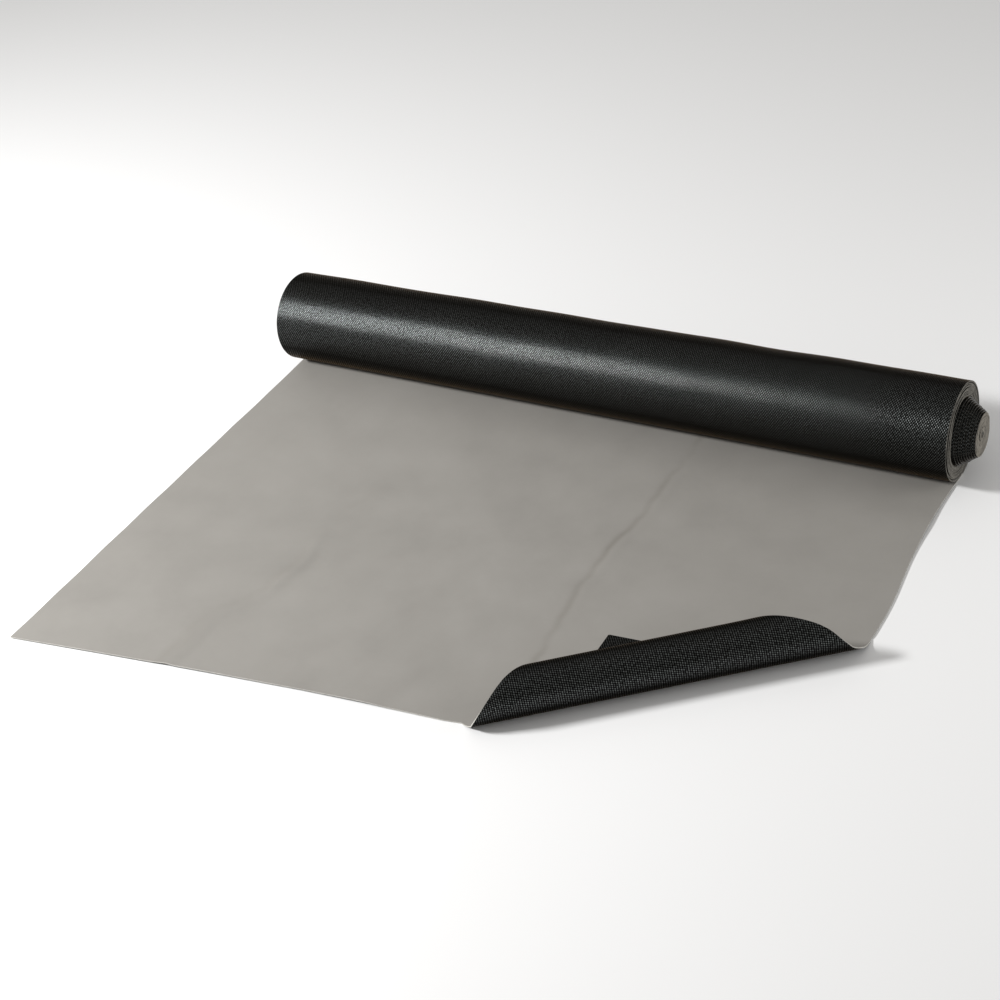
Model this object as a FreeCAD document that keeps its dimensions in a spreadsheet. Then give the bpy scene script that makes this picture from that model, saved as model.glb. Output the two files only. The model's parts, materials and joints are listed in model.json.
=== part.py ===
# Rolled bench heat mat: a wide laminated sheet, laid out at the front and
# wound up at the back, with one front corner rolled over.
#
# Frame: +X along the roll, +Y from the free front end back to the roll, +Z up.
# The mat lies on z = 0.  The origin is the middle of the footprint's box.
#
# Laminate from the bottom up: embossed base cover, insulation, heating film
# with a copper bus bar along each side, smooth top cover.  The two covers are
# welded together in a margin along the sides and the front.
import FreeCAD, Part
import math
import os
import Sketcher

V = FreeCAD.Vector
doc = FreeCAD.newDocument("heat_mat")

# ---------------------------------------------------------------- dimensions
sheet = doc.addObject("Spreadsheet::Sheet", "dims")
CELLS = [
    ("mat_width", 1200.0),       # across the roll
    ("roll_y", 823.2),           # front-left corner to the roll's axis
    ("roll_radius", 77.4),
    ("turn_pitch", 2.04),        # radius lost per turn
    ("base_thk", 0.7),
    ("insul_thk", 0.3),
    ("film_thk", 0.2),
    ("top_thk", 0.6),
    ("weld_margin", 16.0),
    ("bus_width", 12.0),
    ("lap_gap", 0.3),            # laid sheet to the sheet on the roll
    ("coil_radius", 73.2),       # outermost wound turn inside the outer lap
    ("flush_turns", 10.0),
    ("step_turns", 9.0),
    ("core_turns", 14.0),
    ("step_thk", 1.7),           # sheet thickness in a stepped turn
    ("step_base_thk", 0.9),
    ("core_protrusion", 30.0),   # how far the innermost turns stand out
    ("org_x", 615.0),            # footprint centre from the front-left corner
    ("org_y", 450.3),
    # front edge, from the front-left corner: cut a little out of square
    ("edge_xa", 161.3), ("edge_ya", 20.4),
    ("edge_xb", 333.6), ("edge_yb", 41.9),
    ("edge_xc", 498.5), ("edge_yc", 61.4),
    ("edge_xd", 658.2), ("edge_yd", 75.8),
    # line along which the corner leaves the floor
    ("fold_x", 746.2), ("fold_y", 81.2),
    ("fold_dx", 0.7974), ("fold_dy", 0.6034),
    ("fold_side_y", 424.6),      # where that line meets the right-hand side
    ("curl_radius", 34.2),
    ("curl_wrap", 252.0),        # degrees of wrap before the sheet bends back
    ("flap_height", 4.0),        # black face of the flap, where it lies on the sheet
    ("corner_length", 250.0),    # fold line to the corner's tip, along the sheet
    ("corner_foot", 231.6),      # tip's place along the fold line
    ("fold_length", 569.0),
    ("corner_start", 0.8),       # laid sheet to the curled sheet, along the sheet
]
for i, (alias, value) in enumerate(CELLS, start=1):
    sheet.set("A%d" % i, alias)
    sheet.set("B%d" % i, str(value))
    sheet.setAlias("B%d" % i, alias)
doc.recompute()


def dim(alias):
    return float(getattr(sheet, alias))


SUBPARTS = []        # (object, file name)


def register(obj, name):
    obj.Label = name
    SUBPARTS.append((obj, name))
    return obj


# ------------------------------------------------------------- laid sheet
def polygon_sketch(body, name, points):
    """A closed polygon in the body's XY plane.  points: (x value, x
    expression, y value, y expression) from the front-left corner."""
    sk = body.newObject("Sketcher::SketchObject", name)
    plane = [f for f in body.Origin.OriginFeatures if f.Role == "XY_Plane"][0]
    sk.AttachmentSupport = [(plane, "")]
    sk.MapMode = "FlatFace"
    n = len(points)
    for i in range(n):
        a, b = points[i], points[(i + 1) % n]
        sk.addGeometry(Part.LineSegment(V(a[0], a[2], 0), V(b[0], b[2], 0)), False)
    for i in range(n):
        sk.addConstraint(Sketcher.Constraint("Coincident", i, 2, (i + 1) % n, 1))
    for i, (x, ex, y, ey) in enumerate(points):
        for kind, val, expr in (("DistanceX", x, ex), ("DistanceY", y, ey)):
            if abs(val) < 1e-9:
                target = -2 if kind == "DistanceX" else -1
                sk.addConstraint(Sketcher.Constraint("PointOnObject", i, 1, target))
                continue
            c = sk.addConstraint(Sketcher.Constraint(kind, -1, 1, i, 1, val))
            sk.setExpression("Constraints[%d]" % c, expr)
    return sk


def outline(inset, drop_fold_ends=False):
    """Laid outline, moved in by inset (value, expression) on the left, the
    front and the right.  The fold line and the roll end stay put."""
    d, e = inset
    w, yl = dim("mat_width"), dim("roll_y") - dim("lap_gap")
    fx, fy, dx, dy = dim("fold_x"), dim("fold_y"), dim("fold_dx"), dim("fold_dy")
    slope = dy / dx
    S = "dims."
    pts = []
    y0 = dim("edge_ya") / dim("edge_xa") * d + d
    pts.append((d, e, y0, "(%sedge_ya/%sedge_xa)*%s+%s" % (S, S, e, e)))
    for k in "abcd":
        pts.append((dim("edge_x" + k), S + "edge_x" + k,
                    dim("edge_y" + k) + d, "%sedge_y%s+%s" % (S, k, e)))
    pts.append((fx + d / slope, "%sfold_x+(%s)*%sfold_dx/%sfold_dy" % (S, e, S, S),
                fy + d, "%sfold_y+%s" % (S, e)))
    pts.append((w - d, "%smat_width-(%s)" % (S, e),
                fy + (w - d - fx) * slope,
                "%sfold_y+(%smat_width-(%s)-%sfold_x)*%sfold_dy/%sfold_dx" % (S, S, e, S, S, S)))
    pts.append((w - d, "%smat_width-(%s)" % (S, e), yl, "%sroll_y-%slap_gap" % (S, S)))
    pts.append((d, e, yl, "%sroll_y-%slap_gap" % (S, S)))
    return pts


def place(obj, z_expr):
    obj.setExpression("Placement.Base.x", "-dims.org_x")
    obj.setExpression("Placement.Base.y", "-dims.org_y")
    obj.setExpression("Placement.Base.z", z_expr)


def pad_body(name, pts, thk_expr, z_expr):
    body = doc.addObject("PartDesign::Body", name)
    sk = polygon_sketch(body, name + "_outline", pts)
    pad = body.newObject("PartDesign::Pad", name + "_pad")
    pad.Profile = sk
    pad.setExpression("Length", thk_expr)
    sk.Visibility = False
    place(body, z_expr)
    return body, pad


FULL = (0.0, "0")
IN1 = (dim("weld_margin"), "dims.weld_margin")
IN2 = (dim("weld_margin") + dim("bus_width"), "(dims.weld_margin+dims.bus_width)")


def full_outline():
    pts = outline(FULL)
    # with no inset the first point is the corner itself
    pts[0] = (0.0, "0", 0.0, "0")
    return pts


Z1 = "dims.base_thk"
Z2 = "dims.base_thk+dims.insul_thk"
Z3 = "dims.base_thk+dims.insul_thk+dims.film_thk"

b, _ = pad_body("laid_base_cover", full_outline(), "dims.base_thk", "0")
register(b, "laid_base_cover")
b, _ = pad_body("laid_insulation", outline(IN1), "dims.insul_thk", Z1)
register(b, "laid_insulation")
b, _ = pad_body("laid_heating_film", outline(IN2), "dims.film_thk", Z2)
register(b, "laid_heating_film")

top, top_pad = pad_body("laid_top_cover", full_outline(),
                        "dims.insul_thk+dims.film_thk+dims.top_thk", Z1)
doc.recompute()
before = top_pad.Shape.Volume
recess_sk = polygon_sketch(top, "laid_top_cover_recess", outline(IN1))
recess = top.newObject("PartDesign::Pocket", "laid_top_cover_pocket")
recess.Profile = recess_sk
recess.setExpression("Length", "dims.insul_thk+dims.film_thk")
recess.Reversed = True
top.Tip = recess
doc.recompute()
if not recess.Shape.Volume < 0.75 * before:
    raise RuntimeError("the recess under the top cover was not cut")
register(top, "laid_top_cover")


def strip(name, x_expr, y_expr, len_expr):
    box = doc.addObject("Part::Box", name)
    box.setExpression("Length", "dims.bus_width")
    box.setExpression("Width", len_expr)
    box.setExpression("Height", "dims.film_thk")
    box.setExpression("Placement.Base.x", x_expr)
    box.setExpression("Placement.Base.y", y_expr)
    return box


bl = strip("bus_left", "dims.weld_margin", "dims.weld_margin+4",
           "dims.roll_y-dims.lap_gap-dims.weld_margin-4")
br = strip("bus_right", "dims.mat_width-dims.weld_margin-dims.bus_width",
           "dims.fold_side_y-dims.weld_margin*dims.fold_dy/dims.fold_dx",
           "dims.roll_y-dims.lap_gap-dims.fold_side_y+dims.weld_margin*dims.fold_dy/dims.fold_dx")
bars = doc.addObject("Part::Compound", "laid_bus_bars")
bars.Links = [bl, br]
place(bars, Z2)
register(bars, "laid_bus_bars")


# ------------------------------------------------------------- wound sheet
def spiral_face(r_out, pitch, turns, d_out, d_in, trim):
    """Cross-section of one layer of a spiral in the YZ plane, about the
    roll's axis.  The spiral starts at the bottom, runs back, up and over, and
    is made of half turns that meet in tangent.  d_out and d_in are the
    layer's depths below the sheet's outer face, trim the length left out at
    each end."""
    half = int(round(turns * 2))
    outer, inner = [], []
    for k in range(half):
        cz = 0.0 if k % 2 == 0 else pitch / 2.0
        r = r_out - k * pitch / 2.0
        a0 = -math.pi / 2 if k % 2 == 0 else math.pi / 2
        a1 = a0 + math.pi
        if k == 0:
            a0 += trim / r
        if k == half - 1:
            a1 -= trim / r
        am = 0.5 * (a0 + a1)
        for rr, bag in ((r - d_out, outer), (r - d_in, inner)):
            p = [V(0, rr * math.cos(a), cz + rr * math.sin(a)) for a in (a0, am, a1)]
            bag.append(p)
    edges = [Part.Arc(*p).toShape() for p in outer]
    edges.append(Part.LineSegment(outer[-1][2], inner[-1][2]).toShape())
    edges += [Part.Arc(p[2], p[1], p[0]).toShape() for p in reversed(inner)]
    edges.append(Part.LineSegment(inner[0][0], outer[0][0]).toShape())
    wire = Part.Wire(edges)
    face = Part.Face(wire)
    if face.normalAt(0, 0).x < 0:
        face.reverse()
    return face


def wound(name, r_alias, turns_alias, d_out, d_in, x0, x0_expr, length_expr, trim=0.0,
          r_value=None, turns=None):
    """One layer of a wound stretch, extruded along the roll."""
    prof = doc.addObject("Part::Feature", name + "_profile")
    r = dim(r_alias) if r_value is None else r_value
    n = dim(turns_alias) if turns is None else turns
    prof.Shape = spiral_face(r, dim("turn_pitch"), n, d_out, d_in, trim)
    ex = doc.addObject("Part::Extrusion", name)
    ex.Base = prof
    ex.DirMode = "Custom"
    ex.Dir = V(1, 0, 0)
    ex.Solid = True
    ex.setExpression("LengthFwd", length_expr)
    ex.setExpression("Placement.Base.x", "-dims.org_x+" + x0_expr)
    ex.setExpression("Placement.Base.y", "dims.roll_y-dims.org_y")
    ex.setExpression("Placement.Base.z", "dims.roll_radius")
    return ex


D1 = dim("base_thk")
D2 = D1 + dim("insul_thk")
D3 = D2 + dim("film_thk")
D4 = D3 + dim("top_thk")


def laminate(prefix, r_alias, turns_alias, shift_expr, trim=0.0, r_value=None, turns=None):
    """All the layers of one wound stretch: five pieces."""
    kw = dict(trim=trim, r_value=r_value, turns=turns)
    full = "dims.mat_width"
    in1 = "dims.mat_width-2*dims.weld_margin"
    in2 = "dims.mat_width-2*dims.weld_margin-2*dims.bus_width"
    m = "dims.weld_margin"
    register(wound(prefix + "_base_cover", r_alias, turns_alias, 0.0, D1, 0,
                   shift_expr, full, **kw), prefix + "_base_cover")
    register(wound(prefix + "_insulation", r_alias, turns_alias, D1, D2, 0,
                   shift_expr + "+" + m, in1, **kw), prefix + "_insulation")
    register(wound(prefix + "_heating_film", r_alias, turns_alias, D2, D3, 0,
                   shift_expr + "+" + m + "+dims.bus_width", in2, **kw),
             prefix + "_heating_film")
    b1 = wound(prefix + "_bus_left", r_alias, turns_alias, D2, D3, 0,
               shift_expr + "+" + m, "dims.bus_width", **kw)
    b2 = wound(prefix + "_bus_right", r_alias, turns_alias, D2, D3, 0,
               shift_expr + "+dims.mat_width-" + m + "-dims.bus_width",
               "dims.bus_width", **kw)
    comp = doc.addObject("Part::Compound", prefix + "_bus_bars")
    comp.Links = [b1, b2]
    register(comp, prefix + "_bus_bars")
    whole = wound(prefix + "_top_blank", r_alias, turns_alias, D1, D4, 0,
                  shift_expr, full, **kw)
    hollow = wound(prefix + "_top_hollow", r_alias, turns_alias, D1, D3, 0,
                   shift_expr + "+" + m, in1, **kw)
    cut = doc.addObject("Part::Cut", prefix + "_top_cover")
    cut.Base = whole
    cut.Tool = hollow
    register(cut, prefix + "_top_cover")


# the outermost turn, from the floor round the back and down the front
laminate("lap", "roll_radius", None, "0", turns=1)
# the turns that are flush at the ends
laminate("coil", "coil_radius", "flush_turns", "0")
# the innermost turns, which stand out furthest
PITCH = dim("turn_pitch")
step_r = dim("coil_radius") - dim("flush_turns") * PITCH
core_r = step_r - dim("step_turns") * PITCH
n_steps = int(dim("step_turns"))
laminate("core", None, "core_turns", "dims.core_protrusion", trim=0.3, r_value=core_r)

# the stepped turns between them, each shifted a little further than the last
for k in range(1, n_steps + 1):
    r_k = step_r - (k - 1) * PITCH
    shift = "dims.core_protrusion*%d/(dims.step_turns+1)" % k
    tb = dim("step_base_thk")
    tt = dim("step_thk")
    name = "step_turn_%d_base_cover" % k
    register(wound(name, None, None, 0.0, tb, 0, shift, "dims.mat_width",
                   trim=0.3, r_value=r_k, turns=1), name)
    name = "step_turn_%d_top_cover" % k
    register(wound(name, None, None, tb, tt, 0, shift, "dims.mat_width",
                   trim=0.3, r_value=r_k, turns=1), name)


# ------------------------------------------------------------ rolled corner
def flap_radius():
    """Radius of the reverse bend that brings the rolled sheet down flat."""
    rho, wrap = dim("curl_radius"), math.radians(dim("curl_wrap"))
    return ((rho * (1 - math.cos(wrap)) - dim("flap_height"))
            / (1 - math.cos(wrap - math.pi)))


def curl_point(q, depth):
    """Section of the rolled corner: q is the length along the sheet's
    underside from the fold line, depth the distance above it.  It winds
    forward, up and over, bends back and lies flat on the sheet behind.
    Returns the distance forward of the fold line, and the height."""
    rho = dim("curl_radius")
    wrap = math.radians(dim("curl_wrap"))
    turn = min(q / rho, wrap)
    f, z = rho * math.sin(turn), rho * (1 - math.cos(turn))
    rest = q - rho * wrap
    if rest > 0:
        back = flap_radius()
        turn = max(wrap - rest / back, math.pi)
        f -= back * (math.sin(turn) - math.sin(wrap))
        z += back * (math.cos(turn) - math.cos(wrap))
        f -= max(0.0, rest - back * (wrap - math.pi))
    return f - depth * math.sin(turn), z + depth * math.cos(turn)


# the corner's flat outline: place along the fold line against distance from it
LEFT = [(0.0, 0.0), (19.0, 31.2), (22.5, 42.0), (32.5, 58.0), (46.8, 74.0),
        (62.4, 90.0), (72.8, 100.0), (207.8, 218.0),
        (dim("corner_foot"), dim("corner_length"))]
RIGHT = [(dim("fold_length"), 0.0), (549.2, 25.2), (543.6, 36.0), (535.3, 50.0),
         (522.6, 66.0), (512.0, 78.0), (494.5, 92.4), (286.3, 213.4),
         (dim("corner_foot"), dim("corner_length"))]


def along(table, q):
    for (a0, q0), (a1, q1) in zip(table, table[1:]):
        if q <= q1:
            return a0 + (a1 - a0) * (q - q0) / (q1 - q0)
    return table[-1][0]


def curl_solid(d0, d1, margin):
    """One layer of the rolled corner, between two depths, as a closed shell
    of flat strips that follow the curl."""
    q_end = dim("corner_length") - margin - 3.0
    rho = dim("curl_radius")
    n_arc, n_back, n_flat = 28, 8, 3
    wrap = math.radians(dim("curl_wrap"))
    q_arc = rho * wrap
    q_back = q_arc + flap_radius() * (wrap - math.pi)
    q0 = dim("corner_start")
    qs = [q0 + (q_arc - q0) * i / n_arc for i in range(n_arc + 1)]
    qs += [q_arc + (q_back - q_arc) * (i + 1) / n_back for i in range(n_back)]
    qs += [q_back + (q_end - q_back) * (i + 1) / n_flat for i in range(n_flat)]
    fx, fy, dx, dy = dim("fold_x"), dim("fold_y"), dim("fold_dx"), dim("fold_dy")

    def point(a, q, d):
        f, z = curl_point(q, d)
        return V(fx + a * dx + f * dy, fy + a * dy - f * dx, z)

    rows = []
    for q in qs:
        a0, a1 = along(LEFT, q) + margin, along(RIGHT, q) - margin
        if a1 - a0 < 2.0:
            mid = 0.5 * (a0 + a1)
            a0, a1 = mid - 1.0, mid + 1.0
        rows.append([point(a0, q, d0), point(a1, q, d0), point(a1, q, d1), point(a0, q, d1)])
    faces = []

    def quad(a, b, c, d, flat=False):
        if flat:
            faces.append(Part.Face(Part.makePolygon([a, b, c, d, a])))
        else:
            faces.append(Part.Face(Part.makePolygon([a, b, c, a])))
            faces.append(Part.Face(Part.makePolygon([a, c, d, a])))

    quad(*rows[0], flat=True)
    quad(*rows[-1], flat=True)
    for r0, r1 in zip(rows, rows[1:]):
        quad(r0[0], r0[1], r1[1], r1[0], flat=True)
        quad(r0[3], r0[2], r1[2], r1[3], flat=True)
        quad(r0[1], r1[1], r1[2], r0[2])
        quad(r0[0], r1[0], r1[3], r0[3])
    solid = Part.Solid(Part.Shell(faces))
    if solid.Volume < 0:
        solid.reverse()
    return solid


for name, d0, d1, margin in (("corner_base_cover", 0.0, D1, 0.0),
                             ("corner_insulation", D1, D2, IN1[0]),
                             ("corner_heating_film", D2, D3, IN1[0]),
                             ("corner_top_cover", D3, D4, 0.0)):
    piece = doc.addObject("Part::Feature", name)
    piece.Shape = curl_solid(d0, d1, margin)
    piece.Placement = FreeCAD.Placement(V(-dim("org_x"), -dim("org_y"), 0),
                                        FreeCAD.Rotation())
    register(piece, name)

doc.recompute()

# ------------------------------------------------------------------- checks
for obj in doc.Objects:
    if "Invalid" in obj.State or "Error" in obj.State:
        raise RuntimeError("%s failed: %s" % (obj.Name, obj.State))
names = [n for _, n in SUBPARTS]
if len(names) != len(set(names)) or len(names) > 60:
    raise RuntimeError("bad list of sub-parts")
box = FreeCAD.BoundBox()
for obj, name in SUBPARTS:
    if obj.Shape.isNull() or not obj.Shape.isValid():
        raise RuntimeError(name + " has no valid shape")
    if obj.Shape.Volume <= 0 or not obj.Shape.Solids:
        raise RuntimeError(name + " is not a solid")
    box.add(obj.Shape.BoundBox)

os.makedirs("parts", exist_ok=True)
for obj, name in SUBPARTS:
    obj.Shape.exportStep(os.path.join("parts", name + ".step"))
    print("%-28s %2d solid(s) %10.1f mm3" % (name, len(obj.Shape.Solids), obj.Shape.Volume))
print("pieces:", len(SUBPARTS))
print("box: x %.2f..%.2f  y %.2f..%.2f  z %.2f..%.2f" % (
    box.XMin, box.XMax, box.YMin, box.YMax, box.ZMin, box.ZMax))
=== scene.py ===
# Looks of the rolled bench mat: grey smooth vinyl above, black embossed vinyl
# below, wound up at the back, with one front corner rolled over.
import bpy, math, json
import numpy as np
from mathutils import Vector, Matrix


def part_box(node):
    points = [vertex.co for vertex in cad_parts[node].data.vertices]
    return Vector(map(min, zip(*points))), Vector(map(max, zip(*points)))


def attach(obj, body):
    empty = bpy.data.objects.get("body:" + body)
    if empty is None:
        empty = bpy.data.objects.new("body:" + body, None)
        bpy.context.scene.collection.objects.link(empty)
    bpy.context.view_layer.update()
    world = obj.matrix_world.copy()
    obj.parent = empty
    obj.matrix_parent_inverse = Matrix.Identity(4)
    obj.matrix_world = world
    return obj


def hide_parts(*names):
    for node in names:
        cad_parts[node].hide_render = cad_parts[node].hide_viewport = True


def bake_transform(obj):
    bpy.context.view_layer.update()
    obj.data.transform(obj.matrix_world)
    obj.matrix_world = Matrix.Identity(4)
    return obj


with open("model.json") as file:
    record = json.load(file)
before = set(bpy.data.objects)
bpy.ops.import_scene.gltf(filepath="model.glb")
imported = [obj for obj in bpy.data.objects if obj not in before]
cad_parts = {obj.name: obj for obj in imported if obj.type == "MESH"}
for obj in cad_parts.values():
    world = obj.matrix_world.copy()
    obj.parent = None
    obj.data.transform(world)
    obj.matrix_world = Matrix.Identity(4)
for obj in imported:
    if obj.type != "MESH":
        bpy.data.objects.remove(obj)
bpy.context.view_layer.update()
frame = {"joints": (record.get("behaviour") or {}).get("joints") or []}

# ------------------------------------------------------------- driving numbers
joints = {j["name"]: j for j in frame["joints"]}
_, L, R = joints["roll_spin"]["pos_m"]            # the roll's axis
lo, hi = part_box("laid_base_cover")
XL, XR, YF = lo[0], hi[0], lo[1]                  # sheet's sides and its front corner
P = 0.00204                                       # pitch of the turns
T = 0.0018                                        # the sheet's thickness
TB = 0.00095                                      # of which the base cover shows
COIL_R = 0.0732
N_FLUSH, N_STEP, N_CORE = 10, 9, 14
STEP_R = COIL_R - N_FLUSH * P
CORE_R = STEP_R - N_STEP * P
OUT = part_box("core_base_cover")[1][0] - XR        # how far the innermost turns stand out

rng = np.random.default_rng(7)


# ---------------------------------------------------------------- small noise
class Smooth:
    """Sum of seeded sine waves: a smooth random field in one or two variables."""

    def __init__(self, seed, waves, scale):
        r = np.random.default_rng(seed)
        ang = r.uniform(0, 2 * math.pi, waves)
        k = 2 * math.pi / (scale * r.uniform(0.6, 1.7, waves))
        self.kx, self.ky = k * np.cos(ang), k * np.sin(ang)
        self.ph = r.uniform(0, 2 * math.pi, waves)
        self.n = math.sqrt(waves / 2)

    def __call__(self, x, y=0.0):
        x, y = np.asarray(x, float)[..., None], np.asarray(y, float)[..., None]
        return np.sin(self.kx * x + self.ky * y + self.ph).sum(-1) / self.n


def smoothstep(t):
    t = np.clip(t, 0, 1)
    return t * t * (3 - 2 * t)


# ------------------------------------------------------------------ materials
def nodes_of(mat):
    mat.use_nodes = True
    nt = mat.node_tree
    nt.nodes.clear()
    out = nt.nodes.new("ShaderNodeOutputMaterial")
    bsdf = nt.nodes.new("ShaderNodeBsdfPrincipled")
    nt.links.new(bsdf.outputs[0], out.inputs[0])
    return nt, bsdf


def N(nt, kind, **kw):
    n = nt.nodes.new("ShaderNode" + kind)
    for k, v in kw.items():
        setattr(n, k, v)
    return n


def math_node(nt, op, a, b=None, clamp=False):
    n = N(nt, "Math", operation=op, use_clamp=clamp)
    for i, v in enumerate((a, b)):
        if v is None:
            continue
        if isinstance(v, (int, float)):
            n.inputs[i].default_value = v
        else:
            nt.links.new(v, n.inputs[i])
    return n.outputs[0]


def noise_node(nt, vec, scale, detail=3.0, rough=0.5):
    n = N(nt, "TexNoise")
    n.inputs["Scale"].default_value = scale
    n.inputs["Detail"].default_value = detail
    n.inputs["Roughness"].default_value = rough
    nt.links.new(vec, n.inputs["Vector"])
    return n.outputs["Fac"]


def ramp(nt, fac, stops):
    r = N(nt, "ValToRGB")
    while len(r.color_ramp.elements) < len(stops):
        r.color_ramp.elements.new(0.5)
    for e, (pos, col) in zip(r.color_ramp.elements, stops):
        e.position = pos
        e.color = (*col, 1) if len(col) == 3 else col
    nt.links.new(fac, r.inputs[0])
    return r.outputs[0]


def map_range(nt, v, a, b, c, d):
    m = N(nt, "MapRange")
    nt.links.new(v, m.inputs["Value"])
    for k, x in (("From Min", a), ("From Max", b), ("To Min", c), ("To Max", d)):
        m.inputs[k].default_value = x
    return m.outputs["Result"]


ROWS_X, ROWS_Y = 256.0, 186.0      # rows of bumps per metre, across and along


def emboss_height(nt, uv):
    """Two families of rows that cross at about 72 degrees, one deeper than
    the other: a bump where they cross, from 0 to 1."""
    sep = N(nt, "SeparateXYZ")
    nt.links.new(uv, sep.inputs[0])
    pu = math_node(nt, "MULTIPLY", sep.outputs[0], 2 * math.pi * ROWS_X)
    pv = math_node(nt, "MULTIPLY", sep.outputs[1], 2 * math.pi * ROWS_Y)
    a = math_node(nt, "COSINE", math_node(nt, "ADD", pu, pv))
    b = math_node(nt, "COSINE", math_node(nt, "SUBTRACT", pu, pv))
    a = math_node(nt, "MULTIPLY_ADD", a, 0.5)
    a.node.inputs[2].default_value = 0.5
    b = math_node(nt, "MULTIPLY_ADD", b, 0.42)
    b.node.inputs[2].default_value = 0.58
    return math_node(nt, "MULTIPLY", a, b)


def make_black():
    mat = bpy.data.materials.new("black_embossed_vinyl")
    nt, bsdf = nodes_of(mat)
    uv = N(nt, "UVMap", uv_map="flat").outputs[0]
    h = emboss_height(nt, uv)
    soft = noise_node(nt, uv, 9.0, 4.0, 0.6)
    fine = noise_node(nt, uv, 290.0, 2.0, 0.6)
    # base colour: random tone from the soft noise, and painted shade in the low parts of the emboss
    # pattern, which are darker than its tops
    col = ramp(nt, math_node(nt, "ADD", math_node(nt, "MULTIPLY", soft, 0.25),
                             math_node(nt, "MULTIPLY", h, 0.75)),
               [(0.22, (0.0012, 0.0012, 0.0010)), (0.72, (0.0130, 0.0127, 0.0115))])
    nt.links.new(col, bsdf.inputs["Base Color"])
    rough = math_node(nt, "ADD", map_range(nt, h, 0, 1, 0.44, 0.235),
                      map_range(nt, soft, 0.3, 0.7, -0.03, 0.04))
    nt.links.new(rough, bsdf.inputs["Roughness"])
    # the bottoms of the pattern are dull, the tops polished, some more than others
    shine = math_node(nt, "MULTIPLY", map_range(nt, h, 0.12, 0.74, 0.0, 1.85),
                      map_range(nt, fine, 0.38, 0.62, 0.25, 1.85))
    # and the gloss fades towards grazing angles, where the raised rows hide each other
    facing = N(nt, "LayerWeight").outputs["Facing"]
    shine = math_node(nt, "MULTIPLY", math_node(nt, "MINIMUM", shine, 2.6),
                      map_range(nt, facing, 0.11, 0.50, 1.0, 0.03))
    nt.links.new(shine, bsdf.inputs["Specular IOR Level"])
    # a cool tint painted into the highlights, in place of a cool key light
    bsdf.inputs["Specular Tint"].default_value = (0.93, 1.0, 0.99, 1)
    bsdf.inputs["IOR"].default_value = 1.42
    # a faint brown sheen at grazing angles: a painted reflection of warm brown surroundings
    bsdf.inputs["Sheen Weight"].default_value = 0.055
    bsdf.inputs["Sheen Roughness"].default_value = 0.25
    bsdf.inputs["Sheen Tint"].default_value = (1.0, 0.60, 0.24, 1)
    height = math_node(nt, "ADD", h, math_node(nt, "MULTIPLY", fine, 0.18))
    bump = N(nt, "Bump")
    bump.inputs["Strength"].default_value = 1.0
    bump.inputs["Distance"].default_value = 0.00019
    nt.links.new(height, bump.inputs["Height"])
    nt.links.new(bump.outputs[0], bsdf.inputs["Normal"])
    return mat


def make_grey():
    mat = bpy.data.materials.new("grey_smooth_vinyl")
    nt, bsdf = nodes_of(mat)
    uv = N(nt, "UVMap", uv_map="flat").outputs[0]
    sep = N(nt, "SeparateXYZ")
    nt.links.new(uv, sep.inputs[0])
    big = noise_node(nt, uv, 2.6, 5.0, 0.62)
    cloud = noise_node(nt, uv, 11.0, 6.0, 0.68)
    grain = noise_node(nt, uv, 900.0, 2.0, 0.6)
    mix = math_node(nt, "ADD", math_node(nt, "MULTIPLY", big, 0.5),
                    math_node(nt, "ADD", math_node(nt, "MULTIPLY", cloud, 0.38),
                              math_node(nt, "MULTIPLY", grain, 0.12)))
    col = ramp(nt, mix, [(0.30, (0.256, 0.244, 0.225)), (0.50, (0.284, 0.271, 0.250)),
                         (0.70, (0.307, 0.293, 0.272))])
    # painted shade along the two creases: the base colour is darkened where the crease strengths are
    # high
    crease = N(nt, "Attribute", attribute_name="crease").outputs["Fac"]
    dark = N(nt, "MixRGB", blend_type="MULTIPLY")
    nt.links.new(math_node(nt, "MULTIPLY", crease, 0.85, clamp=True), dark.inputs[0])
    nt.links.new(col, dark.inputs[1])
    dark.inputs[2].default_value = (0.80, 0.79, 0.77, 1)
    # a few specks of dirt
    vor = N(nt, "TexVoronoi", feature="F1")
    vor.inputs["Scale"].default_value = 9.0
    nt.links.new(uv, vor.inputs["Vector"])
    near = math_node(nt, "LESS_THAN", vor.outputs["Distance"], 0.011)
    sepc = N(nt, "SeparateColor")
    nt.links.new(vor.outputs["Color"], sepc.inputs[0])
    rare = math_node(nt, "GREATER_THAN", sepc.outputs[0], 0.86)
    speck = N(nt, "MixRGB", blend_type="MIX")
    nt.links.new(math_node(nt, "MULTIPLY", near, rare), speck.inputs[0])
    nt.links.new(dark.outputs[0], speck.inputs[1])
    speck.inputs[2].default_value = (0.09, 0.08, 0.07, 1)
    nt.links.new(speck.outputs[0], bsdf.inputs["Base Color"])
    rough = math_node(nt, "ADD", map_range(nt, cloud, 0.3, 0.7, 0.50, 0.60),
                      math_node(nt, "MULTIPLY", grain, 0.06))
    nt.links.new(rough, bsdf.inputs["Roughness"])
    bsdf.inputs["Specular IOR Level"].default_value = 0.35
    bump = N(nt, "Bump")
    bump.inputs["Strength"].default_value = 0.5
    bump.inputs["Distance"].default_value = 0.0004
    height = math_node(nt, "ADD", math_node(nt, "MULTIPLY", cloud, 1.6),
                       math_node(nt, "MULTIPLY", grain, 0.10))
    nt.links.new(height, bump.inputs["Height"])
    nt.links.new(bump.outputs[0], bsdf.inputs["Normal"])
    return mat


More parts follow.
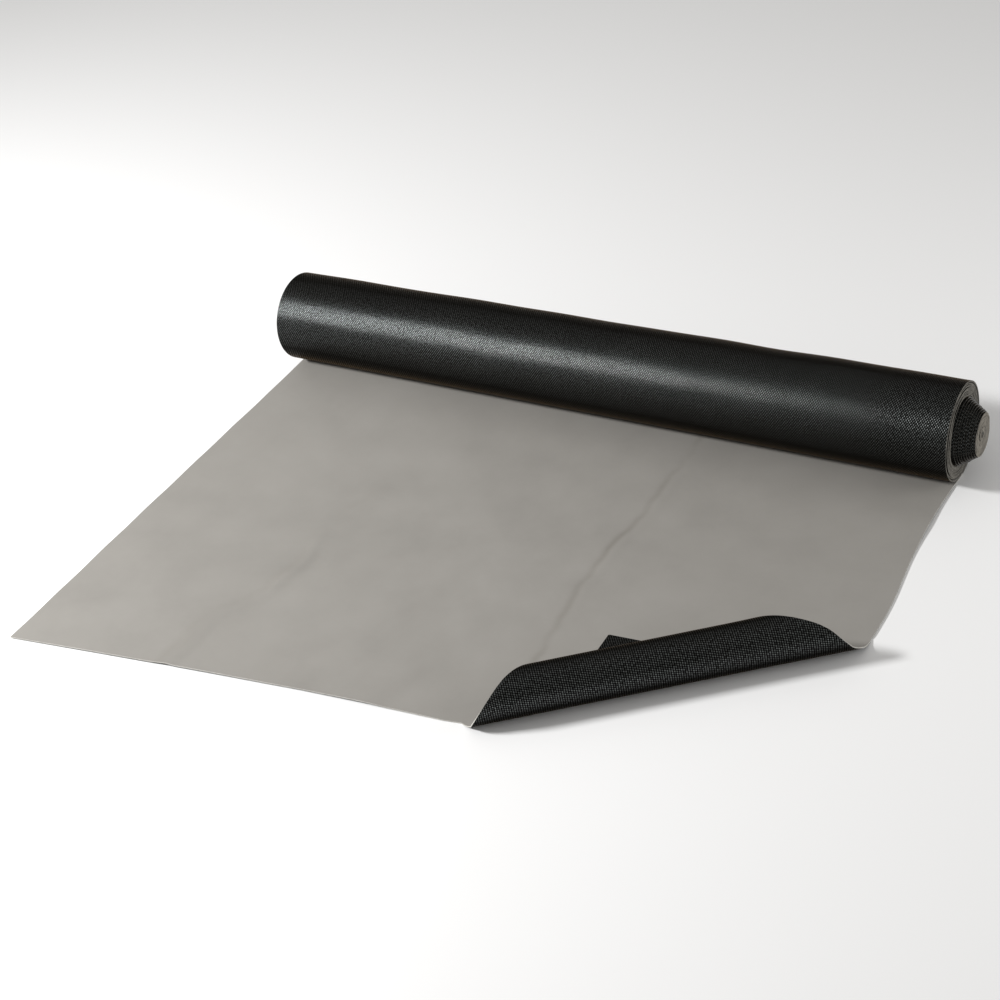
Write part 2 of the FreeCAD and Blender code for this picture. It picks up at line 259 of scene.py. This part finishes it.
def make_edge(name, dark, light, rough=(0.62, 0.8), spec=0.3):
    """Cut edge of a cover: paler and rougher than its face."""
    mat = bpy.data.materials.new(name)
    nt, bsdf = nodes_of(mat)
    tc = N(nt, "TexCoord").outputs["Object"]
    n1 = noise_node(nt, tc, 160.0, 4.0, 0.65)
    nt.links.new(ramp(nt, n1, [(0.32, dark), (0.68, light)]), bsdf.inputs["Base Color"])
    nt.links.new(map_range(nt, n1, 0.3, 0.7, rough[0], rough[1]), bsdf.inputs["Roughness"])
    bsdf.inputs["Specular IOR Level"].default_value = spec
    bump = N(nt, "Bump")
    bump.inputs["Strength"].default_value = 0.6
    bump.inputs["Distance"].default_value = 0.0003
    nt.links.new(n1, bump.inputs["Height"])
    nt.links.new(bump.outputs[0], bsdf.inputs["Normal"])
    return mat


BLACK = make_black()
GREY = make_grey()
EDGE_B = make_edge("black_cover_cut_edge", (0.022, 0.020, 0.016), (0.120, 0.112, 0.096))
EDGE_G = make_edge("grey_cover_cut_edge", (0.105, 0.097, 0.082), (0.235, 0.222, 0.195))
EDGE_D = make_edge("stepped_turns_base_edge", (0.004, 0.0035, 0.003), (0.016, 0.014, 0.011),
                   (0.26, 0.45), 0.6)
EDGE_H = make_edge("stepped_turns_top_edge", (0.026, 0.024, 0.020), (0.120, 0.112, 0.097),
                   (0.40, 0.60), 0.4)
EDGE_P = make_edge("sheet_cut_edge", (0.40, 0.385, 0.355), (0.56, 0.545, 0.51))
EDGE_C = make_edge("innermost_turns_edge", (0.150, 0.136, 0.112), (0.235, 0.216, 0.184))


# ----------------------------------------------------------------- mesh tools
def new_object(name, verts, faces, mat_index, mats, uv=None, crease=None, sharp=40):
    me = bpy.data.meshes.new(name)
    me.from_pydata([tuple(v) for v in verts], [], [tuple(f) for f in faces])
    for m in mats:
        me.materials.append(m)
    me.polygons.foreach_set("material_index", np.asarray(mat_index, np.int32))
    me.polygons.foreach_set("use_smooth", np.ones(len(faces), bool))
    if uv is not None:
        layer = me.uv_layers.new(name="flat")
        loops = np.empty(len(me.loops), np.int32)
        me.loops.foreach_get("vertex_index", loops)
        layer.data.foreach_set("uv", np.asarray(uv, np.float32)[loops].ravel())
    # per-vertex strengths of the shade painted along the creases, read by the grey material
    if crease is not None:
        a = me.attributes.new("crease", "FLOAT", "POINT")
        a.data.foreach_set("value", np.asarray(crease, np.float32))
    me.set_sharp_from_angle(angle=math.radians(sharp))
    me.validate()
    me.update()
    o = bpy.data.objects.new(name, me)
    bpy.context.scene.collection.objects.link(o)
    return o


def thick_sheet(name, S, NRM, quads, d0, d1, mats, uv, crease=None):
    """Closed solid between two depths above a surface S, with its rim."""
    n = len(S)
    verts = np.concatenate([S + NRM * d0, S + NRM * d1])
    q = np.asarray(quads)
    bottom = q[:, ::-1]
    top = q + n
    count = {}
    for a, b in ((0, 1), (1, 2), (2, 3), (3, 0)):
        for i, j in zip(q[:, a], q[:, b]):
            count[(i, j)] = count.get((i, j), 0) + 1
    rim = [(i, j) for (i, j) in count if (j, i) not in count]
    side = np.array([(i, j, j + n, i + n) for i, j in rim])
    faces = np.concatenate([bottom, top, side])
    mi = np.concatenate([np.zeros(len(bottom)), np.zeros(len(top)), np.ones(len(side))])
    uv2 = np.concatenate([uv, uv])
    cr = None if crease is None else np.concatenate([crease, crease])
    return new_object(name, verts, faces, mi, mats, uv2, cr)


# ------------------------------------------------------- laid sheet and corner
FRONT = np.array([(0.0, 0.0), (0.1613, 0.0204), (0.3336, 0.0419), (0.4985, 0.0614),
                  (0.6582, 0.0758), (0.7462, 0.0812)])
FX, FY = XL + 0.7462, YF + 0.0812          # where the fold line leaves the front edge
DX, DY = 0.7974, 0.6034
RHO = 0.0342
WRAP = math.radians(252)
FLAP_Z = 0.0043                            # black face of the flap, lying on the sheet
A_S = 0.0070                               # the fold starts here along its line
A0, TIGHT = 0.0193, 0.050                  # the roll is a little tighter at this end
LEFT = np.array([(0.0070, 0.0), (0.0125, 0.0095), (0.0188, 0.0195), (0.0190, 0.024),
                 (0.0196, 0.028), (0.0210, 0.032), (0.0228, 0.036), (0.0263, 0.042),
                 (0.0302, 0.048), (0.0360, 0.056), (0.0420, 0.064), (0.0482, 0.072),
                 (0.0544, 0.080), (0.0628, 0.090), (0.0728, 0.100), (0.2078, 0.218),
                 (0.2306, 0.2482)])
RIGHT = np.array([(0.5740, 0.0), (0.5715, 0.006), (0.5672, 0.012), (0.5630, 0.018),
                  (0.5586, 0.0244), (0.5530, 0.030), (0.5467, 0.036), (0.5411, 0.042),
                  (0.5360, 0.050), (0.5300, 0.058), (0.5236, 0.066), (0.5170, 0.074),
                  (0.5112, 0.080), (0.5011, 0.088), (0.4945, 0.0924), (0.2863, 0.2134),
                  (0.2326, 0.2482)])
# how the right-hand side of the laid part bows, from the fold (0) to the roll (1)
BOW = np.array([(0.0, 0.0010), (0.1, 0.0024), (0.2, 0.0022), (0.28, 0.0), (0.4, -0.0040),
                (0.52, -0.0062), (0.64, -0.0062), (0.76, -0.0060), (0.88, -0.0032), (1.0, 0.0)])
TIGHTER = 0.80
# where the roll starts, as a place on the floor
AX = FX + A_S * DX + 0.374 * RHO * (1 - TIGHTER) * DY
AY = FY + A_S * DY - 0.374 * RHO * (1 - TIGHTER) * DX
CREASE_1 = np.array([(0.3407, 0.1728), (0.2283, 0.1714), (0.1163, 0.1708), (0.0101, 0.1568),
                     (-0.1308, 0.1643), (-0.2070, 0.1729), (-0.45, 0.176)])
CREASE_2 = np.array([(0.3407, -0.268), (0.0230, -0.2724), (-0.0101, -0.2894),
                     (-0.1225, -0.2905), (-0.2189, -0.2897), (-0.2874, -0.3441),
                     (-0.45, -0.352)])


def front_y(x):
    px = np.append(FRONT[:-1, 0], AX - XL)
    py = np.append(FRONT[:-1, 1], AY - YF)
    return YF + np.interp(x - XL, px, py) - 0.0020 * smoothstep((AX - x) / 0.03)


def crease_fields(x, y):
    """Heights of the two lengthwise creases, and how strongly shade is painted along them."""
    c1 = np.interp(-y, -CREASE_1[:, 0], CREASE_1[:, 1])
    c2 = np.interp(-y, -CREASE_2[:, 0], CREASE_2[:, 1])
    w1 = Smooth(11, 5, 0.06)(y) * 0.0016
    w2 = Smooth(12, 5, 0.08)(y) * 0.005
    d1, d2 = x - c1 - w1, x - c2 - w2
    f1 = 0.75 + 0.25 * Smooth(13, 4, 0.15)(y)
    f2 = 0.6 + 0.4 * Smooth(14, 4, 0.12)(y)
    f2 = f2 * smoothstep((0.10 - y) / 0.12)
    g1 = np.exp(-(d1 / 0.0060) ** 2) * f1
    g2 = np.exp(-(d2 / 0.010) ** 2) * f2
    hgt = -0.0005 * g1 + 0.0006 * np.exp(-((d1 - 0.011) / 0.009) ** 2) * f1
    hgt = hgt + 0.0019 * np.exp(-((d2 - 0.011) / 0.012) ** 2) * f2
    return hgt, np.clip(1.15 * g1 + 0.50 * g2, 0, 1.2)


MEM = Smooth(21, 6, 0.30)
ROLLWAVE = Smooth(22, 3, 0.5)


def laid_height(x, y):
    """Lie of the sheet on the floor: soft waves across it that remember the
    winding, dying out at the roll and at the fold line."""
    fold = (x - FX) * DY - (y - FY) * DX           # distance in front of the fold line
    under = smoothstep((x - XL - 0.60) / 0.10)       # nothing stirs beneath the flap
    fade = smoothstep((-fold - 0.135 * under) / 0.10) * smoothstep((L - y) / 0.16)
    wave = 0.5 + 0.5 * np.sin(2 * math.pi * (y + 0.02 * ROLLWAVE(x, 0)) / 0.118 + 0.6)
    soft = 0.5 + 0.25 * MEM(x, y)
    z = (0.0007 * wave + 0.0016 * np.clip(soft, 0, 1)) * fade
    # the free front edge lifts a little on its way to the rolled corner
    edge = y - front_y(x)
    lift = np.exp(-np.clip(edge, 0, None) / 0.045) * smoothstep((x - XL) / 0.35) \
        * smoothstep((FX + 0.01 - x) / 0.12)
    z = z + 0.0010 * lift
    h, g = crease_fields(x, y)
    return np.clip(z + (h + 0.0005) * fade, 0, None), g


def rho_at(a):
    """Radius of the rolled corner along the fold line."""
    return RHO * (TIGHTER + (1 - TIGHTER) * smoothstep((a - A0) / TIGHT)
                  + 0.03 * smoothstep((a - 0.38) / 0.14))


def fold_shift(a):
    """How far in front of the straight fold line the tighter end touches down."""
    return 0.374 * (RHO - np.minimum(rho_at(a), RHO))


def curl_section(q, rho):
    """Distance forward of where the roll touches down, and height, at a
    length q along the sheet's underside: wound forward, up and over, bent
    back, and flat on the sheet behind."""
    phi = np.minimum(q / rho, WRAP)
    f, z = rho * np.sin(phi), rho * (1 - np.cos(phi))
    back = (rho * (1 - math.cos(WRAP)) - FLAP_Z) / (1 - math.cos(WRAP - math.pi))
    rest = np.maximum(0.0, q - rho * WRAP)
    th = np.maximum(WRAP - rest / back, math.pi)
    f = f - back * (np.sin(th) - math.sin(WRAP)) - np.maximum(0, rest - back * (WRAP - math.pi))
    z = z + back * (np.cos(th) - math.cos(WRAP))
    return f, z


def columns():
    """Places across the sheet, closer together along the creases."""
    xs = list(np.linspace(XL, AX, 58)) + list(AX + (XR - AX) * np.linspace(0, 1, 84) ** 1.15)[1:]
    for c, wdt, n in ((-0.285, 0.03, 14), (0.168, 0.02, 16)):
        xs += list(np.linspace(c - wdt, c + wdt, n))
    xs = np.array(sorted(xs))
    keep = [xs[0]]
    for x in xs[1:]:
        if x - keep[-1] > 0.0018:
            keep.append(x)
        elif abs(x - AX) < 1e-9:
            keep[-1] = x
    keep[-1] = XR
    return np.array(keep)


def build_laid():
    xs = columns()
    iF = int(np.argmin(abs(xs - AX)))
    xs[iF] = AX
    n_y = 86
    tt = np.linspace(0, 1, n_y)
    a_fold = A_S + (RIGHT[0, 0] - A_S) * (xs[iF:] - AX) / (XR - AX)
    sh = fold_shift(a_fold)
    sx, sy = FX + a_fold * DX + sh * DY, FY + a_fold * DY - sh * DX
    X, Y = [], []
    for i, x in enumerate(xs):
        x0, y0 = (x, front_y(x)) if i < iF else (sx[i - iF], sy[i - iF])
        X.append(x0 + smoothstep(tt) * (x - x0))
        Y.append(y0 + tt * (L - y0))
    X, Y = np.array(X), np.array(Y)             # columns by rows
    up = (Y - sy[-1]) / (L - sy[-1])
    knots = np.linspace(0, 1, 41)
    bow = np.convolve(np.pad(np.interp(knots, BOW[:, 0], BOW[:, 1]), 3, "edge"),
                      np.ones(7) / 7, "valid")
    bow = bow * smoothstep((1 - knots) / 0.08)
    X = X + np.interp(up, knots, bow, left=0) * smoothstep((X - XR + 0.30) / 0.30) \
        * smoothstep(tt / 0.02)
    X = X + 0.0022 * smoothstep((XL + 0.20 - X) / 0.20) * smoothstep((L - Y) / 0.15)
    Z, G = laid_height(X, Y)
    nC = len(xs)
    pts = [np.stack([X, Y, Z], -1).reshape(-1, 3)]
    uvs = [np.stack([X, Y], -1).reshape(-1, 2)]
    # strengths of the shade painted along the creases
    crs = [G.reshape(-1)]
    idx = np.arange(nC * n_y).reshape(nC, n_y)
    quads = []
    for i in range(nC - 1):
        a, b = idx[i], idx[i + 1]
        quads.append(np.stack([a[:-1], b[:-1], b[1:], a[1:]], 1))
    # the rolled corner, from the fold line on
    qs = np.concatenate([np.linspace(0, 0.1, 56), np.linspace(0.1, 0.2482, 56)[1:]])[1:]
    tau = (a_fold - a_fold[0]) / (a_fold[-1] - a_fold[0])
    al = np.interp(qs, LEFT[:, 1], LEFT[:, 0])
    ar = np.interp(qs, RIGHT[:, 1], RIGHT[:, 0])
    A = al[:, None] + tau[None, :] * (ar - al)[:, None]     # rows by columns
    Q = np.repeat(qs[:, None], len(tau), 1)
    f, z = curl_section(Q, rho_at(A))
    f = f + fold_shift(A)
    CX = FX + A * DX + f * DY
    CY = FY + A * DY - f * DX
    base = nC * n_y
    cid = base + np.arange(Q.size).reshape(Q.shape)
    pts.append(np.stack([CX, CY, z], -1).reshape(-1, 3))
    uvs.append(np.stack([FX + A * DX + Q * DY, FY + A * DY - Q * DX], -1).reshape(-1, 2))
    crs.append(np.zeros(Q.size))
    prev = idx[iF:, 0]
    for j in range(len(qs)):
        cur = cid[j]
        quads.append(np.stack([cur[:-1], cur[1:], prev[1:], prev[:-1]], 1))
        prev = cur
    S = np.concatenate(pts)
    UV = np.concatenate(uvs)
    CR = np.concatenate(crs)
    quads = np.concatenate(quads)
    # vertex normals towards the grey side
    a, b, c, d = (S[quads[:, k]] for k in range(4))
    fn = np.cross(c - a, d - b)
    nrm = np.zeros_like(S)
    for k in range(4):
        np.add.at(nrm, quads[:, k], fn)
    nrm /= np.linalg.norm(nrm, axis=1)[:, None] + 1e-12
    base_piece = thick_sheet("mat_base_cover", S, nrm, quads, 0.0, TB, [BLACK, EDGE_P], UV, CR)
    top_piece = thick_sheet("mat_top_cover", S, nrm, quads, TB, T, [GREY, EDGE_P], UV, CR)
    return base_piece, top_piece


mat_base, mat_top = build_laid()
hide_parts("laid_base_cover", "laid_insulation", "corner_base_cover",
            "corner_insulation")
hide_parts("laid_top_cover", "laid_heating_film", "laid_bus_bars",
            "corner_heating_film", "corner_top_cover")


# ----------------------------------------------------------------- wound turns
def spiral_xy(r0, phi, depth):
    """A point of the winding: phi is the angle wound from the bottom (0),
    back, up and over.  Half turns that meet in tangent."""
    k = np.floor(phi / math.pi + 1e-9)
    cz = np.where(k % 2 == 0, 0.0, P / 2)
    r = r0 - k * P / 2 - depth
    a = phi - math.pi / 2
    return r * np.cos(a), cz + r * np.sin(a)


def wound(name, r0, turns, d0, d1, x_left, x_right, mats, n_turn=96, nx=1, phase=0.0,
          trim=0.0, ripple=None, uv0=0.0):
    """One cover of a wound stretch, as a closed solid.  x_left and x_right
    give the places of its two ends for an angle."""
    n = int(n_turn * turns) + 1
    phi = np.linspace(trim, 2 * math.pi * turns - trim, n)
    # keep every half turn's own end
    xs_l, xs_r = x_left(phi), x_right(phi)
    t = np.linspace(0, 1, nx + 1)
    X = xs_l[:, None] + t[None, :] * (xs_r - xs_l)[:, None]
    rings = []
    k = np.floor(phi / math.pi + 1e-9)
    arc = np.concatenate([[0], np.cumsum(np.diff(phi) * (r0 - k[:-1] * P / 2))])
    for depth in (d0, d1):
        ph = np.repeat(phi[:, None], nx + 1, 1)
        dd = np.full_like(ph, depth)
        if ripple is not None:
            dd = dd + ripple(X, ph)
        y, z = spiral_xy(r0, ph, dd)
        rings.append(np.stack([X, L + y, R + z], -1).reshape(-1, 3))
    verts = np.concatenate(rings)
    m = (nx + 1) * n
    idx = np.arange(m).reshape(n, nx + 1)
    quads = np.stack([idx[:-1, :-1], idx[:-1, 1:], idx[1:, 1:], idx[1:, :-1]], -1).reshape(-1, 4)
    outer = quads[:, ::-1]
    inner = quads + m
    side = []
    for i in range(n - 1):
        side.append((idx[i, 0], idx[i + 1, 0], idx[i + 1, 0] + m, idx[i, 0] + m)[::-1])
        side.append((idx[i, -1], idx[i + 1, -1], idx[i + 1, -1] + m, idx[i, -1] + m))
    cap = []
    for j in range(nx):
        cap.append((idx[0, j], idx[0, j + 1], idx[0, j + 1] + m, idx[0, j] + m))
        cap.append((idx[-1, j], idx[-1, j + 1], idx[-1, j + 1] + m, idx[-1, j] + m)[::-1])
    faces = np.concatenate([outer, inner, np.array(side), np.array(cap)])
    mi = np.concatenate([np.zeros(len(outer) + len(inner)), np.ones(len(side) + len(cap))])
    uv = np.stack([X, np.repeat((L + uv0 + arc)[:, None], nx + 1, 1)], -1).reshape(-1, 2)
    o = new_object(name, verts, faces, mi, mats, np.concatenate([uv, uv]))
    return o


def fix_normals(o):
    import bmesh
    bm = bmesh.new()
    bm.from_mesh(o.data)
    bmesh.ops.recalc_face_normals(bm, faces=bm.faces)
    bm.to_mesh(o.data)
    bm.free()


def ends(base_l, base_r, seed, amp, slope=0.0, turns=1):
    nl, nr = Smooth(seed, 6, 1.6), Smooth(seed + 1, 6, 1.6)

    def left(phi):
        return base_l + amp * nl(phi) + slope * (phi / (2 * math.pi * turns) - 0.5)

    def right(phi):
        return base_r + amp * nr(phi) + slope * (phi / (2 * math.pi * turns) - 0.5)
    return left, right


BM, GM = [BLACK, EDGE_B], [GREY, EDGE_G]
STEP_BM, STEP_GM = [BLACK, EDGE_D], [GREY, EDGE_H]
CORE_BM, CORE_GM = [BLACK, EDGE_C], [GREY, EDGE_C]

# outermost turn: stays with the roll's carriage
flat_lap = Smooth(31, 7, 0.17)


def lap_ripple(x, phi):
    """The outer turn is a little uneven, but not where it meets the floor."""
    fade = np.sin(np.clip(phi, 0, 2 * math.pi) / 2) ** 2
    return 0.00034 * fade * flat_lap(x, phi * 0.08) + 0.0004 * fade


l_, r_ = ends(XL, XR, 41, 0.0)
lap_b = wound("lap_base_cover_visual", R, 1, 0.0, TB, l_, r_, BM, n_turn=160, nx=48,
              ripple=lap_ripple)
lap_g = wound("lap_top_cover_visual", R, 1, TB, T, l_, r_, GM, n_turn=160, nx=48,
              ripple=lap_ripple)
coil_l, coil_r = ends(XL + 0.0006, XR - 0.0006, 43, 0.0006)
coil_b = wound("coil_base_cover_visual", COIL_R, N_FLUSH, 0.0, 0.00104, coil_l, coil_r, BM)
coil_g = wound("coil_top_cover_visual", COIL_R, N_FLUSH, 0.00104, 0.00196, coil_l, coil_r, GM)
core_l, core_r = ends(XL + OUT, XR + OUT, 45, 0.0004)
core_b = wound("core_base_cover_visual", CORE_R, N_CORE, 0.0, 0.00104, core_l, core_r, CORE_BM,
               trim=0.008)
core_g = wound("core_top_cover_visual", CORE_R, N_CORE, 0.00104, 0.00196, core_l, core_r, CORE_GM,
               trim=0.008)
for o, body, slot, nodes in (
        (lap_b, "roll_carriage", "black_cover", ["lap_base_cover", "lap_insulation"]),
        (lap_g, "roll_carriage", "grey_cover", ["lap_top_cover", "lap_heating_film", "lap_bus_bars"]),
        (coil_b, "wound_coil", "black_cover", ["coil_base_cover", "coil_insulation"]),
        (coil_g, "wound_coil", "grey_cover", ["coil_top_cover", "coil_heating_film", "coil_bus_bars"]),
        (core_b, "core", "black_cover", ["core_base_cover", "core_insulation"]),
        (core_g, "core", "grey_cover", ["core_top_cover", "core_heating_film", "core_bus_bars"])):
    fix_normals(o)
    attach(o, body)
    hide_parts(*nodes)

for k in range(1, N_STEP + 1):
    r0 = STEP_R - (k - 1) * P
    sh = OUT * k / (N_STEP + 1)
    sl, sr = ends(XL + sh, XR + sh, 60 + 2 * k, 0.0003, slope=OUT / (N_STEP + 1) * 0.6)
    for cover, d0, d1, mats, slot in (("base", 0.0, 0.00104, STEP_BM, "black_cover"),
                                      ("top", 0.00104, 0.00196, STEP_GM, "grey_cover")):
        o = wound("step_%d_%s_visual" % (k, cover), r0, 1, d0, d1, sl, sr, mats,
                  trim=0.004)
        fix_normals(o)
        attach(o, "step_turn_%d" % k)
        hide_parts("step_turn_%d_%s_cover" % (k, cover))

# bake the laid sheet's placement into its mesh
for o in (mat_base, mat_top):
    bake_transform(o)

# ------------------------------------------------------------ camera and stage
cam_data = bpy.data.cameras.new("camera")
cam_data.sensor_width = 36.0
cam_data.lens = 67.385
cam_data.clip_end = 60
cam = bpy.data.objects.new("camera", cam_data)
right = Vector((0.8602897923675892, 0.48775735400723713, -0.1483045405912753))
down = Vector((0.18958519869297236, -0.5761276919316003, -0.795068761193718))
fwd = Vector((-0.47324298788748753, 0.655873193690233, -0.5881083473424753))
cam.matrix_world = Matrix((
    (right.x, -down.x, -fwd.x, 1.32326782),
    (right.y, -down.y, -fwd.y, -1.82730993),
    (right.z, -down.z, -fwd.z, 1.72126355),
    (0, 0, 0, 1)))
bpy.context.scene.collection.objects.link(cam)
bpy.context.scene.camera = cam

me = bpy.data.meshes.new("floor")
s = 30.0
me.from_pydata([(-s, -s, 0), (s, -s, 0), (s, s, 0), (-s, s, 0)], [], [(0, 1, 2, 3)])
floor = bpy.data.objects.new("floor", me)
floor.location = (0, 0, -0.0004)
bpy.context.scene.collection.objects.link(floor)
fm = bpy.data.materials.new("floor_white")
fnt, fb = nodes_of(fm)
fb.inputs["Base Color"].default_value = (0.88, 0.88, 0.88, 1)
fb.inputs["Roughness"].default_value = 0.9
fb.inputs["Specular IOR Level"].default_value = 0.1
me.materials.append(fm)


def area_light(name, loc, target, size, energy, color=(1, 1, 1), size_y=None):
    d = bpy.data.lights.new(name, "AREA")
    d.energy = energy
    d.color = color
    d.size = size
    if size_y:
        d.shape = "RECTANGLE"
        d.size_y = size_y
    o = bpy.data.objects.new(name, d)
    o.location = loc
    o.rotation_euler = (Vector(target) - Vector(loc)).to_track_quat("-Z", "Y").to_euler()
    bpy.context.scene.collection.objects.link(o)
    return o


area_light("key", (-2.24, -1.46, 1.88), (0.0, 0.1, 0.0), 0.62, 131, size_y=0.34)
area_light("side", (2.3, 0.80, 0.55), (0.6, 0.37, 0.08), 1.0, 14)

# plain, even surroundings
world = bpy.data.worlds.new("studio")
world.use_nodes = True
bg = world.node_tree.nodes["Background"]
bg.inputs["Color"].default_value = (1.0, 0.985, 0.96, 1)
bg.inputs["Strength"].default_value = 0.40
bpy.context.scene.world = world
bpy.context.scene.view_settings.view_transform = "Standard"
bpy.context.scene.view_settings.look = "None"
